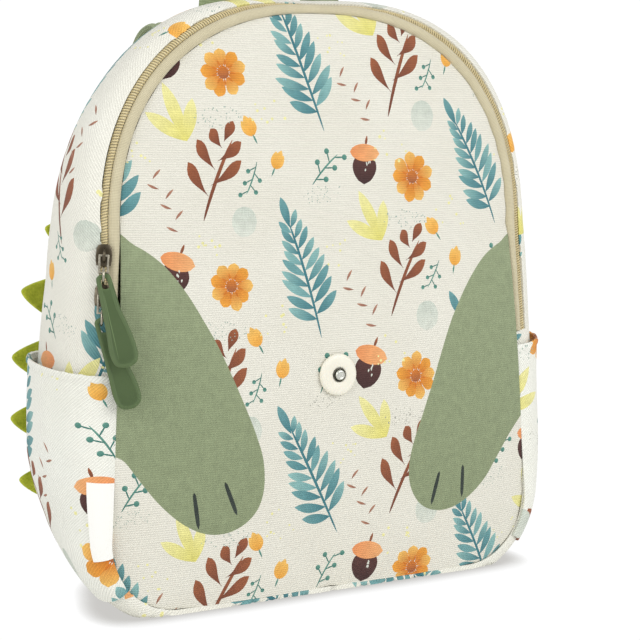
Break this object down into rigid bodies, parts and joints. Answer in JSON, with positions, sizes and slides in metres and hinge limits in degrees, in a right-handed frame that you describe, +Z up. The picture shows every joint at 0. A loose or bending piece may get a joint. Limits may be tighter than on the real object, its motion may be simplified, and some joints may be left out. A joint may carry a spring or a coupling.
{
  "type": "kids animal backpack",
  "caption": "Small child's backpack in printed canvas with a round arched zip, side pockets, padded shoulder straps edged with felt fins, a press snap and a carrying handle.",
  "frame": {"origin": "centre of the bag's flat base, on the floor", "axes": "+Z up, the front panel faces -Y, +X is to the right as seen from the front; the wearer's back is at +Y"},
  "size_m": [0.299, 0.1343, 0.3565],
  "materials": {
    "canvas": "ribbed cotton canvas, off-white, printed",
    "sage_canvas": "plain sage green canvas over padding",
    "sage_webbing": "woven webbing",
    "zip_cloth": "khaki woven zip tape",
    "zip_teeth": "golden khaki nylon coil",
    "zip_metal": "dark bronze plate, satin",
    "tab_rubber": "soft sage green silicone, matte",
    "label_cloth": "white satin ribbon",
    "snap_plastic": "cream, satin",
    "snap_metal": "bright nickel",
    "felt": "lime green wool felt"
  },
  "bodies": {
    "root": {"front_panel": "canvas", "gusset": "canvas", "pocket_left": "canvas", "pocket_right": "canvas", "back_panel": "sage_canvas", "strap_left": "sage_canvas", "strap_right": "sage_canvas", "strap_webbing_left": "sage_webbing", "strap_webbing_right": "sage_webbing", "haul_loop": "sage_webbing", "zip_tape": "zip_cloth", "zip_tape_inner": "zip_cloth", "zip_coil": "zip_teeth", "slider_upper": "zip_metal", "slider_lower": "zip_metal", "pull_link_upper": "zip_metal", "pull_link_lower": "zip_metal", "pull_ring_upper": "zip_metal", "pull_ring_lower": "zip_metal", "pull_tab_upper": "tab_rubber", "pull_tab_lower": "tab_rubber", "side_label": "label_cloth", "snap_disc": "snap_plastic", "snap_stud": "snap_metal", "fin_left_1": "felt", "fin_left_2": "felt", "fin_left_3": "felt", "fin_left_4": "felt", "fin_left_5": "felt", "fin_right_1": "felt", "fin_right_2": "felt", "fin_right_3": "felt", "fin_right_4": "felt", "fin_right_5": "felt"}
  },
  "joints": []
}
